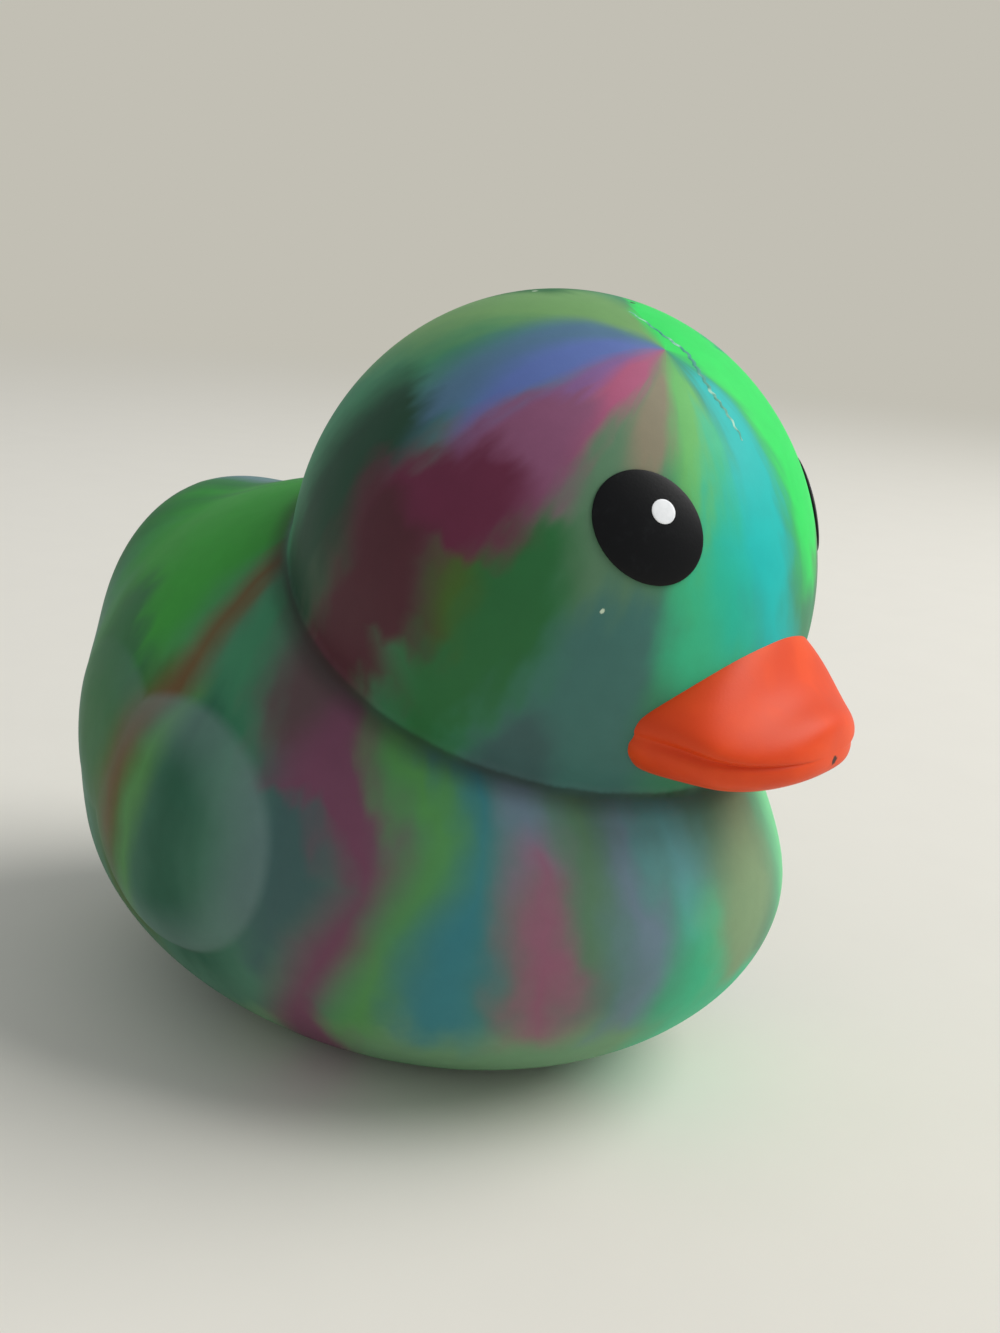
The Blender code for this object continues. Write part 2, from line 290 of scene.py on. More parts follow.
# Streaks on the body, drawn out up and down: colour, softness, then stations of height in
# millimetres and the streak's two edges, in degrees round the body in the same way.
BODY_STREAKS = (
    ("sea_blue", 5, ((44, 34, 50), (24, 33, 53), (4, 36, 53))),
    ("rosewood", 3, ((46, 54, 63), (37, 54, 70), (31, 60, 70), (24, 52, 66), (14, 57, 68),
        (6, 58, 66))),
    ("grass", 4, ((47, 68, 80), (34, 71, 82), (22, 66, 84), (8, 71, 86))),
    ("slate", 6, ((46, 86, 102), (28, 88, 107), (8, 92, 106))),
    ("rose", 3, ((48, 108, 116), (38, 107, 119), (30, 112, 119), (22, 108, 120), (12, 114, 121))),
    ("bright_green", 7, ((58, 122, 150), (32, 124, 152), (6, 120, 150))),
    ("sea_blue", 6, ((55, 151, 167), (30, 152, 169), (8, 150, 168))),
    ("lilac", 4, ((52, 172, 184), (34, 174, 187), (14, 177, 188))),
    ("leaf", 5, ((56, -176, -156), (30, -176, -154), (4, -176, -150))),
    ("pale_sage", 9.5, ((12, -52, -14), (7, -84, -6), (-4, -130, 20))),
    ("bright_green", 12, ((60, -185, -96), (50, -158, -106), (44, -150, -106), (38, -142, -108),
        (32, -130, -110))),
    ("bright_green", 7, ((60, -150, -104), (53, -140, -108), (49, -124, -111))),
    ("leaf", 7, ((43, -142, -126), (37, -140, -108), (30, -136, -109), (24, -130, -112))),
    ("olive", 5.5, ((37, -112, -100), (30, -116, -99), (24, -122, -103), (18, -122, -105),
        (12, -120, -104))),
    ("sea", 5.5, ((54, -97, -82), (44, -97, -83), (38, -98, -82), (34, -92, -80))),
    ("dark_teal", 8, ((37, -97, -86), (30, -99, -86), (24, -101, -85), (18, -101, -83),
        (12, -98, -84))),
    ("brown", 5, ((56, -106, -98), (46, -103, -97), (42, -104, -98), (38, -107, -98),
        (34, -111, -103), (28, -113, -107), (22, -114, -110))),
    ("grass", 4, ((37, -98, -96), (33, -103, -98), (28, -105, -101), (22, -106, -103),
        (16, -108, -104))),
    ("plum_grey", 7, ((52, -84, -64), (44, -82, -62), (40, -82, -58), (34, -76, -60))),
    ("slate", 7, ((34, -77, -64), (29, -78, -60), (24, -79, -60), (20, -79, -66), (16, -78, -70))),
    ("rosewood", 6, ((41, -66, -57), (36, -73, -57), (33, -75, -53), (31, -66, -52),
        (28, -62, -51), (25, -60, -53), (22, -63, -56), (19, -67, -56), (16, -69, -60),
        (12, -72, -64), (8, -76, -62), (2, -78, -60))),
    ("grass", 5.5, ((44, -58, -50), (37, -58, -49), (33, -53, -43), (30, -50, -42), (27, -51, -43),
        (24, -53, -47), (20, -56, -51), (15, -59, -53), (10, -62, -54))),
    ("sea_blue", 5.5, ((40, -50, -38), (34, -44, -37), (30, -42, -38), (26, -44, -38),
        (22, -49, -38), (16, -51, -38), (12, -50, -38))),
    ("lilac", 4, ((40, -37, -31), (33, -37, -30), (28, -36, -30))),
    ("rose", 5.5, ((30, -35, -31), (25, -36, -29), (20, -36, -27), (16, -35, -27), (12, -33, -27))),
    ("grey_green", 4, ((36, -30, -24), (30, -29, -24), (26, -28, -23), (21, -27, -24))),
    ("lilac", 4, ((33, -23, -17), (28, -23, -17), (24, -22, -16), (19, -22, -15), (13, -22, -16))),
    ("pale_blue", 5.5, ((36, -20, -8), (30, -17, -8), (26, -15, -9), (22, -13, -10))),
    ("mint", 7, ((24, -11, -7), (18, -14, 0), (14, -14, 10), (8, -12, 14), (3, -8, 16))),
    ("wheat", 5.5, ((33, 0, 9), (28, -5, 9), (24, -8, 8), (20, -7, 5), (16, -4, 3))),
    ("pale_green", 7, ((40, 12, 40), (28, 12, 30), (18, 10, 28), (8, 10, 26))),
)

# Small marks: colour, place and radius in metres.
SKIN_MARKS = (
    ("speck", (-0.0187, -0.0323, 0.0525), 0.00021),
    ("grime_and_crease_shade", (0.0004, -0.0203, 0.0775), 0.00034),
    ("speck", (-0.0044, -0.0123, 0.0778), 0.00030),
)
BILL_MARKS = (
    ("bill_nick", (0.0003, -0.0465, 0.0390), 0.00055),
)

# The streaks' edges are drawn as curves over this many degrees either side of the front.
EDGE_REACH = 240.0


def linear(name):
    """A palette colour as the shaders take it."""
    def channel(value):
        value /= 255.0
        return value / 12.92 if value <= 0.04045 else ((value + 0.055) / 1.055) ** 2.4
    return (*(channel(v) for v in PALETTE[name]), 1.0)


# Meshes

def object_from(name, form):
    mesh = bpy.data.meshes.new(name)
    form.to_mesh(mesh)
    form.free()
    mesh.shade_smooth()
    made = bpy.data.objects.new(name, mesh)
    bpy.context.scene.collection.objects.link(made)
    return made


def ellipsoid(size, segments=96, rings=48):
    form = bmesh.new()
    bmesh.ops.create_uvsphere(form, u_segments=segments, v_segments=rings, radius=0.5)
    bmesh.ops.scale(form, vec=size, verts=form.verts)
    return form


def boolean(target, other, operation):
    modifier = target.modifiers.new(operation.title(), "BOOLEAN")
    modifier.operation = operation
    modifier.object = other
    modifier.solver = "EXACT"


def refit(target, step, passes):
    grid = target.modifiers.new("Skin", "REMESH")
    grid.mode = "VOXEL"
    grid.voxel_size = step
    grid.use_smooth_shade = True
    soft = target.modifiers.new("Soften", "SMOOTH")
    soft.factor = 0.5
    soft.iterations = passes


def bake(target):
    """Work the target's modifiers into its mesh."""
    bpy.context.view_layer.update()
    graph = bpy.context.evaluated_depsgraph_get()
    mesh = bpy.data.meshes.new_from_object(target.evaluated_get(graph))
    target.modifiers.clear()
    target.data = mesh
    mesh.name = target.name


def discard(*helpers):
    for helper in helpers:
        bpy.data.objects.remove(helper, do_unlink=True)


def ease(value):
    value = min(max(value, 0.0), 1.0)
    return value * value * (3.0 - 2.0 * value)


def lobe_depth(lobe, y, z):
    centre_y, centre_z, long_half, short_half, slope = lobe
    along = (y - centre_y) * math.cos(slope) + (z - centre_z) * math.sin(slope)
    across = (z - centre_z) * math.cos(slope) - (y - centre_y) * math.sin(slope)
    return (1.0 - math.hypot(along / long_half, across / short_half)) * short_half


def wing_height(y, z):
    """Share of the wing's relief at a point of the side view: a pillow that fades to the rear."""
    depth = max(lobe_depth(lobe, y, z) for lobe in WING_LOBES)
    crease = ease((depth + WING_EDGE) / (2 * WING_EDGE))
    swell = min(max((depth + WING_EDGE) / WING_ROLL, 0.0), 1.0)
    rearward = ease((y - WING_FADE[0]) / (WING_FADE[1] - WING_FADE[0]))
    return crease * (1.0 - (1.0 - swell) ** WING_SWELL) * (1.0 - (1.0 - WING_REAR) * rearward)


def head_surface(ray):
    """(point, outward normal) where a ray from the head's centre leaves the head."""
    half = HEAD_SIZE / 2
    offset = ray / math.sqrt(sum((ray[i] / half[i]) ** 2 for i in range(3)))
    normal = Vector([offset[i] / half[i] ** 2 for i in range(3)]).normalized()
    return offset + HEAD_CENTRE, normal


def make_skin():
    """The moulded body, head, tail and wings in one skin, cut flat at the base."""
    hull_form = ellipsoid((BODY_WIDTH, BODY_LENGTH, 2.0))
    for vertex in hull_form.verts:
        vertex.co.z *= BODY_RISE if vertex.co.z > 0 else BODY_DEPTH
        vertex.co.y += BODY_SWEEP * max(vertex.co.z, 0.0)
    bmesh.ops.translate(hull_form, vec=(0, 0, BODY_WAIST_Z), verts=hull_form.verts)
    skin = object_from("marbled_skin", hull_form)

    tail_form = ellipsoid(TAIL_SIZE)
    lean = Matrix.Rotation(-TAIL_LEAN, 3, "X")
    bmesh.ops.rotate(tail_form, cent=(0, 0, 0), matrix=lean, verts=tail_form.verts)
    bmesh.ops.translate(tail_form, vec=TAIL_CENTRE, verts=tail_form.verts)
    tail = object_from("tail_form", tail_form)
    head_form = ellipsoid(HEAD_SIZE, 160, 80)
    bmesh.ops.translate(head_form, vec=HEAD_CENTRE, verts=head_form.verts)
    head = object_from("head_form", head_form)

    boolean(skin, tail, "UNION")
    refit(skin, BLEND_STEP, BLEND_PASSES)
    boolean(skin, head, "UNION")
    refit(skin, SKIN_STEP, NECK_PASSES)
    bake(skin)
    discard(tail, head)

    mesh = skin.data
    normals = [vertex.normal.copy() for vertex in mesh.vertices]
    for vertex, normal in zip(mesh.vertices, normals):
        lift = WING_RELIEF * wing_height(vertex.co.y, vertex.co.z) - SKIN_SINK
        vertex.co += normal * lift

    floor_form = bmesh.new()
    bmesh.ops.create_cube(floor_form, size=1.0)
    bmesh.ops.scale(floor_form, vec=(1.0, 1.0, BODY_DEPTH), verts=floor_form.verts)
    bmesh.ops.translate(floor_form, vec=(0, 0, -BODY_DEPTH / 2), verts=floor_form.verts)
    floor_cut = object_from("base_cut", floor_form)
    boolean(skin, floor_cut, "DIFFERENCE")
    bake(skin)
    discard(floor_cut)
    return skin


def eye_frame(side):
    """(point on the head, outward normal, long axis, short axis) of the eye on one side."""
    point, normal = head_surface(Vector((
        side * math.sin(EYE_AZIMUTH) * math.cos(EYE_ELEVATION),
        -math.cos(EYE_AZIMUTH) * math.cos(EYE_ELEVATION),
        math.sin(EYE_ELEVATION),
    )))
    across = Vector((0, 0, 1)).cross(normal).normalized()
    tilt = side * EYE_TILT
    long_axis = across * math.cos(tilt) + normal.cross(across) * math.sin(tilt)
    return point, normal, long_axis, normal.cross(long_axis)


def wrapped_dome(name, rings, spokes, place, crown):
    """A low dome from rings of (share, rise), closed at the crown and at the back."""
    form = bmesh.new()
    loops = []
    for share, rise in rings:
        turns = (2 * math.pi * i / spokes for i in range(spokes))
        loops.append([form.verts.new(place(share, rise, turn)) for turn in turns])
    for low, high in zip(loops, loops[1:]):
        for i in range(spokes):
            j = (i + 1) % spokes
            form.faces.new((low[i], low[j], high[j], high[i]))
    top = form.verts.new(crown)
    for i in range(spokes):
        form.faces.new((loops[-1][i], loops[-1][(i + 1) % spokes], top))
    form.faces.new(list(reversed(loops[0])))
    bmesh.ops.recalc_face_normals(form, faces=form.faces)
    return object_from(name, form)


def eye_rise(share):
    """Height of the eye's face over the head, as a share of its full rise."""
    return EYE_LIP + (1.0 - EYE_LIP) * max(0.0, 1.0 - share * share) ** 0.6


def make_eye(name, side):
    point, normal, long_axis, short_axis = eye_frame(side)

    def place(share, rise, turn):
        flat = point + share * (
            long_axis * math.cos(turn) * EYE_LENGTH / 2
            + short_axis * math.sin(turn) * EYE_BREADTH / 2
        )
        on_head, outward = head_surface(flat - HEAD_CENTRE)
        return on_head + outward * EYE_RISE * rise

    edge = [(1.0, -1.5), (1.0, -0.2), (1.0, 0.12), (0.996, 0.24)]
    shares = (0.985, 0.965, 0.93, 0.88, 0.81, 0.72, 0.6, 0.45, 0.3, 0.15)
    face = [(share, eye_rise(share)) for share in shares]
    return wrapped_dome(name, edge + face, EYE_SPOKES, place, point + normal * EYE_RISE)


def make_spot(name, side):
    """The painted white spot, a thin round patch on the eye's face, up and towards the bill."""
    point, normal, long_axis, short_axis = eye_frame(side)
    inward = Vector((0, 0, 1)).cross(normal).normalized() * -side
    up = Vector((0, 0, 1)) - normal * normal.z
    middle = point + inward * SPOT_INWARD + up.normalized() * SPOT_UP

    def on_eye(flat, extra):
        offset = flat - point
        share = math.hypot(
            offset.dot(long_axis) / (EYE_LENGTH / 2), offset.dot(short_axis) / (EYE_BREADTH / 2)
        )
        on_head, outward = head_surface(flat - HEAD_CENTRE)
        return on_head + outward * (EYE_RISE * eye_rise(share) + extra)

    def place(share, rise, turn):
        ray = long_axis * math.cos(turn) * SPOT_STRETCH[0]
        ray += short_axis * math.sin(turn) * SPOT_STRETCH[1]
        return on_eye(middle + ray * share * SPOT_RADIUS, SPOT_RISE * rise)

    rings = [(1.0, -1.0), (1.0, 0.5), (0.95, 0.9), (0.8, 1.0), (0.4, 1.0)]
    return wrapped_dome(name, rings, SPOT_SPOKES, place, on_eye(middle, SPOT_RISE))


def bill_ring(width, top, mouth, under, groove_share, arch):
    """One station of the bill, as (x, z) round it from the top: arch, mouth groove and lower lip."""
    groove = groove_share * min(MOUTH_GROOVE, 0.2 * width)
    edge = mouth + BILL_EDGE * (top - mouth) / BILL_RISE
    gap = MOUTH_GAP * (top - mouth) / BILL_RISE
    drop = mouth - under
    half = [
        (width * x, edge + (top - edge) * (1.0 - x ** arch) ** (1.0 / arch))
        for x in (0.3, 0.58, 0.82, 0.96, 1.0)
    ]
    half += [
        (width - 0.1 * groove, mouth + 0.3 * gap),
        (width - groove, mouth),
        (width - 0.45 * groove, mouth - 0.6 * gap),
        (0.985 * width - 0.3 * groove, mouth - 0.32 * drop),
        (0.87 * width, under + 0.28 * drop),
        (0.58 * width, under + 0.05 * drop),
    ]
    return [(0.0, top), *half, (0.0, under), *((-x, z) for x, z in reversed(half))]


def make_bill():
    """The orange bill, lofted through its stations and bedded on the head."""
    front = HEAD_CENTRE.y - HEAD_SIZE.y / 2
    form = bmesh.new()
    loops = []
    for share, wide, rise, fall, drop, groove, arch in BILL_STATIONS:
        y = front + BILL_ROOT - share * (BILL_ROOT + BILL_REACH)
        mouth = BILL_MOUTH_Z - fall * BILL_RISE
        ring = bill_ring(
            BILL_HALF_WIDTH * wide,
            mouth + BILL_RISE * rise,
            mouth,
            mouth - BILL_DROP * drop,
            groove,
            arch,
        )
        loops.append([form.verts.new((x, y, z)) for x, z in ring])
    count = len(loops[0])
    for near, far in zip(loops, loops[1:]):
        for i in range(count):
            j = (i + 1) % count
            form.faces.new((near[i], near[j], far[j], far[i]))
    form.faces.new(loops[0])
    form.faces.new(loops[-1])
    bmesh.ops.recalc_face_normals(form, faces=form.faces)
    bill = object_from("orange_bill", form)
    soft = bill.modifiers.new("Soft", "SUBSURF")
    soft.levels = BILL_SOFTENING
    soft.render_levels = BILL_SOFTENING
    even = bill.modifiers.new("Even", "SMOOTH")
    even.factor = 0.5
    even.iterations = BILL_PASSES
    bed_form = ellipsoid(HEAD_SIZE - Vector((2, 2, 2)) * BILL_BED, 192, 96)
    bmesh.ops.translate(bed_form, vec=HEAD_CENTRE, verts=bed_form.verts)
    bed = object_from("bill_bed", bed_form)
    boolean(bill, bed, "DIFFERENCE")
    bake(bill)
    discard(bed)
    bill.data.shade_smooth()
    bill.data.set_sharp_from_angle(angle=BILL_CREASE)
    return bill


def make_flash():
    """The thin ragged ridge that the mould left over the brow, thickest about its middle."""
    runs = [head_surface(Vector(place) - HEAD_CENTRE) for place in FLASH_RUN]
    form = bmesh.new()
    rings = []
    steps = FLASH_STEPS * (len(runs) - 1)
    for i in range(steps + 1):
        span = min(i // FLASH_STEPS, len(runs) - 2)
        share = i / FLASH_STEPS - span
        flat = runs[span][0].lerp(runs[span + 1][0], share)
        along = (runs[span + 1][0] - runs[span][0]).normalized()
        _, normal = head_surface(flat - HEAD_CENTRE)
        aside = normal.cross(along)
        full = math.sin(math.pi * min(max(i / steps, 0.02), 0.98)) ** 0.7
        ragged = 0.55 + 0.45 * math.sin(1.9 * i) * math.sin(0.77 * i + 1.0)
        middle = flat + aside * FLASH_WANDER * math.sin(1.3 * i)
        half = FLASH_HALF_WIDTH * (0.4 + 0.6 * full)
        ring = []
        for side, height in FLASH_SECTION:
            reach = FLASH_HEIGHT * full * ragged if height > 0 else FLASH_FOOT
            rise = reach * height - SKIN_SINK
            on_head, _ = head_surface(middle + aside * side * half - HEAD_CENTRE)
            ring.append(form.verts.new(on_head + normal * rise))
        rings.append(ring)
    for near, far in zip(rings, rings[1:]):
        for i in range(len(near) - 1):
            form.faces.new((near[i], far[i], far[i + 1], near[i + 1]))
    return object_from("brow_flash", form)


# Materials

def new_material(name):
    made = bpy.data.materials.new(name)
    made.use_nodes = True
    return made, made.node_tree.nodes["Principled BSDF"]


def link(tree, source, target):
    if hasattr(source, "is_output"):
        tree.links.new(source, target)
    else:
        target.default_value = source


def math_node(tree, operation, a, b=0.0, c=0.0, clamp=False):
    node = tree.nodes.new("ShaderNodeMath")
    node.operation = operation
    node.use_clamp = clamp
    for value, socket in zip((a, b, c), node.inputs):
        link(tree, value, socket)
    return node.outputs[0]


def vector_math(tree, operation, a, b=(0, 0, 0)):
    node = tree.nodes.new("ShaderNodeVectorMath")
    node.operation = operation
    link(tree, a, node.inputs[0])
    link(tree, b, node.inputs[1])
    return node.outputs["Value" if operation in ("DOT_PRODUCT", "LENGTH") else "Vector"]


def smooth_step(tree, value, low, high, start=0.0, end=1.0):
    node = tree.nodes.new("ShaderNodeMapRange")
    node.interpolation_type = "SMOOTHSTEP"
    for source, name in ((value, "Value"), (low, "From Min"), (high, "From Max"),
                         (start, "To Min"), (end, "To Max")):
        link(tree, source, node.inputs[name])
    return node.outputs[0]


def mix_colour(tree, share, a, b, blend="MIX"):
    node = tree.nodes.new("ShaderNodeMix")
    node.data_type = "RGBA"
    node.blend_type = blend
    link(tree, share, node.inputs["Factor"])
    link(tree, a, node.inputs["A"])
    link(tree, b, node.inputs["B"])
    return node.outputs["Result"]


def noise(tree, place, scale, detail=2.0, roughness=0.5):
    node = tree.nodes.new("ShaderNodeTexNoise")
    link(tree, place, node.inputs["Vector"])
    node.inputs["Scale"].default_value = scale
    node.inputs["Detail"].default_value = detail
    node.inputs["Roughness"].default_value = roughness
    return node.outputs[0]


def object_place(tree):
    return tree.nodes.new("ShaderNodeTexCoord").outputs["Object"]


def new_group(name, inputs, outputs):
    """A shader node group with named sockets: (group, its input node, its output node)."""
    group = bpy.data.node_groups.new(name, "ShaderNodeTree")
    for socket, kind in inputs:
        group.interface.new_socket(socket, in_out="INPUT", socket_type="NodeSocket" + kind)
    for socket, kind in outputs:
        group.interface.new_socket(socket, in_out="OUTPUT", socket_type="NodeSocket" + kind)
    return group, group.nodes.new("NodeGroupInput"), group.nodes.new("NodeGroupOutput")


def place_group(tree, group, **values):
    node = tree.nodes.new("ShaderNodeGroup")
    node.node_tree = group
    for name, value in values.items():
        link(tree, value, node.inputs[name.replace("_", " ").capitalize()])
    return node


def build_wing_group():
    """Where the front of the wings' pillows rises: a band inside their edge, fading inward, which
    takes a painted highlight.
    """
    group, given, out = new_group("Wing pillow", [("Place", "Vector")], [("Rim", "Float")])
    place = given.outputs["Place"]
    depths = []
    for centre_y, centre_z, long_half, short_half, slope in WING_LOBES:
        offset = vector_math(group, "SUBTRACT", place, (0.0, centre_y, centre_z))
        along = (0.0, math.cos(slope) / long_half, math.sin(slope) / long_half)
        across = (0.0, -math.sin(slope) / short_half, math.cos(slope) / short_half)
        far = vector_math(group, "DOT_PRODUCT", offset, along)
        high = vector_math(group, "DOT_PRODUCT", offset, across)
        high_square = math_node(group, "MULTIPLY", high, high)
        square = math_node(group, "MULTIPLY_ADD", far, far, high_square)
        share = math_node(group, "SQRT", square)
        depths.append(math_node(group, "MULTIPLY_ADD", share, -short_half, short_half))
    depth = math_node(group, "MAXIMUM", *depths)
    edge = smooth_step(group, depth, *RIM_EDGE)
    inward = smooth_step(group, depth, RIM_EDGE[1], WING_ROLL, 1.0, 0.0)
    ahead = smooth_step(group, vector_math(group, "DOT_PRODUCT", place, (0.0, 1.0, 0.0)),
                        RIM_FADE[0], RIM_FADE[1], 1.0, RIM_REAR)
    rim_highlight = math_node(group, "MULTIPLY", math_node(group, "MULTIPLY", edge, inward), ahead)
    group.links.new(rim_highlight, out.inputs["Rim"])
    return group


def build_mark_group():
    """A small ragged mark round a point of the surface."""
    group, given, out = new_group(
        "Small mark",
        [("Place", "Vector"), ("Centre", "Vector"), ("Radius", "Float")],
        [("Mask", "Float")],
    )
    apart = vector_math(group, "SUBTRACT", given.outputs["Place"], given.outputs["Centre"])
    apart = vector_math(group, "LENGTH", apart)
    rough = math_node(group, "MULTIPLY_ADD", noise(group, given.outputs["Place"], 3000.0), 1.2, 0.4)
    share = math_node(group, "DIVIDE", math_node(group, "MULTIPLY", apart, rough),
                      given.outputs["Radius"])
    group.links.new(smooth_step(group, share, 0.7, 1.15, 1.0, 0.0), out.inputs["Mask"])
    return group


def build_streak_group():
    """One marbling streak: a soft band between two drawn edges, fading at both of its ends."""
    group, given, out = new_group(
        "Marbling streak",
        [(name, "Float") for name in (
            "Run", "Across", "First edge", "Second edge", "Fade", "Softness", "Spread",
        )],
        [("Mask", "Float")],
    )
    value = given.outputs
    both = math_node(group, "ADD", value["First edge"], value["Second edge"])
    middle = math_node(group, "MULTIPLY_ADD", both, EDGE_REACH, -EDGE_REACH)
    between = math_node(group, "SUBTRACT", value["Second edge"], value["First edge"])
    half = math_node(group, "MULTIPLY", between, EDGE_REACH)
    apart = math_node(group, "SUBTRACT", value["Across"], middle)
    apart = math_node(group, "ABSOLUTE", math_node(group, "WRAP", apart, 180.0, -180.0))
    soft = math_node(group, "ADD", value["Softness"], value["Spread"])
    within = smooth_step(group, apart, math_node(group, "SUBTRACT", half, soft),
                         math_node(group, "ADD", half, soft), 1.0, 0.0)
    inner = math_node(group, "MULTIPLY", value["Fade"], 0.3)
    before = math_node(group, "MULTIPLY", value["Fade"], -1.0)
    begun = smooth_step(group, value["Run"], before, inner)
    ended = smooth_step(group, value["Run"], math_node(group, "SUBTRACT", 1.0, inner),
                        math_node(group, "ADD", 1.0, value["Fade"]), 1.0, 0.0)
    mask = math_node(group, "MULTIPLY", within, math_node(group, "MULTIPLY", begun, ended))
    group.links.new(mask, out.inputs["Mask"])
    return group


def drawn_edge(tree, run, stations, column):
    """One edge of a streak, as a curve through its stations."""
    node = tree.nodes.new("ShaderNodeFloatCurve")
    link(tree, run, node.inputs["Value"])
    first, last = stations[0][0], stations[-1][0]
    points = node.mapping.curves[0].points
    for station in stations[1:-1]:
        points.new((station[0] - first) / (last - first), 0.5)
    for point, station in zip(points, stations):
        place = (station[0] - first) / (last - first)
        point.location = (place, 0.5 + station[column] / (2 * EDGE_REACH))
        point.handle_type = "VECTOR"
    node.mapping.extend = "HORIZONTAL"
    node.mapping.update()
    return node.outputs[0]


def build_silky_group():
    """The fine matt tooth of moulded silicone, as a height and a slight change of roughness."""
    group, given, out = new_group(
        "Silky moulded skin",
        [("Place", "Vector"), ("Grain", "Float"), ("Roughness", "Float")],
        [("Height", "Float"), ("Roughness", "Float")],
    )
    fine = noise(group, given.outputs["Place"], 4200.0, 2.0, 0.6)
    broad = noise(group, given.outputs["Place"], 260.0, 3.0, 0.55)
    fine_part = math_node(group, "MULTIPLY", fine, given.outputs["Grain"])
    height = math_node(group, "MULTIPLY_ADD", broad, 0.25, fine_part)
    uneven = math_node(group, "MULTIPLY_ADD", broad, 0.12, -0.06)
    rough = math_node(group, "ADD", given.outputs["Roughness"], uneven, clamp=True)
    group.links.new(height, out.inputs["Height"])
    group.links.new(rough, out.inputs["Roughness"])
    return group


def silky(tree, shader, group, place, grain, roughness, distance):
    """Give a shader the silky skin's roughness and bump."""
    skin = place_group(tree, group, place=place, grain=grain, roughness=roughness)
    bump = tree.nodes.new("ShaderNodeBump")
    bump.inputs["Strength"].default_value = 0.35
    bump.inputs["Distance"].default_value = distance
    tree.links.new(skin.outputs["Height"], bump.inputs["Height"])
    tree.links.new(bump.outputs["Normal"], shader.inputs["Normal"])
    tree.links.new(skin.outputs["Roughness"], shader.inputs["Roughness"])


def lay_streaks(tree, group, colour, streaks, along, across, spread=0.0):
    """Lay the streaks over a ground colour, in their order."""
    for name, softness, stations in streaks:
        first, last = stations[0][0], stations[-1][0]
        reach = last - first
        run = math_node(tree, "MULTIPLY_ADD", along, 1.0 / reach, -first / reach)
        streak = place_group(
            tree, group, run=run, across=across, spread=spread,
            first_edge=drawn_edge(tree, run, stations, 1),
            second_edge=drawn_edge(tree, run, stations, 2),
            fade=min(6.0 / abs(reach), 0.2), softness=float(softness),
        )
        colour = mix_colour(tree, streak.outputs["Mask"], colour, linear(name))
    return colour


def waver(tree, turn, along, stretch, depth):
    """Degrees that the streaks' edges waver by: teeth drawn out along them, and fray on these."""
    parts = (
        math_node(tree, "MULTIPLY", math_node(tree, "COSINE", turn), TEETH_TURNS),
        math_node(tree, "MULTIPLY", math_node(tree, "SINE", turn), TEETH_TURNS),
        math_node(tree, "MULTIPLY", along, stretch),
    )
    joined = tree.nodes.new("ShaderNodeCombineXYZ")
    for part, socket in zip(parts, joined.inputs):
        tree.links.new(part, socket)
    teeth = math_node(tree, "MULTIPLY_ADD", noise(tree, joined.outputs[0], 1.0, 1.0),
                      TEETH_DEPTH, -TEETH_DEPTH / 2)
    fray = math_node(tree, "MULTIPLY_ADD", noise(tree, joined.outputs[0], FRAY_SCALE, 1.0),
                     FRAY_DEPTH, -FRAY_DEPTH / 2)
    return math_node(tree, "MULTIPLY", math_node(tree, "ADD", teeth, fray), depth)


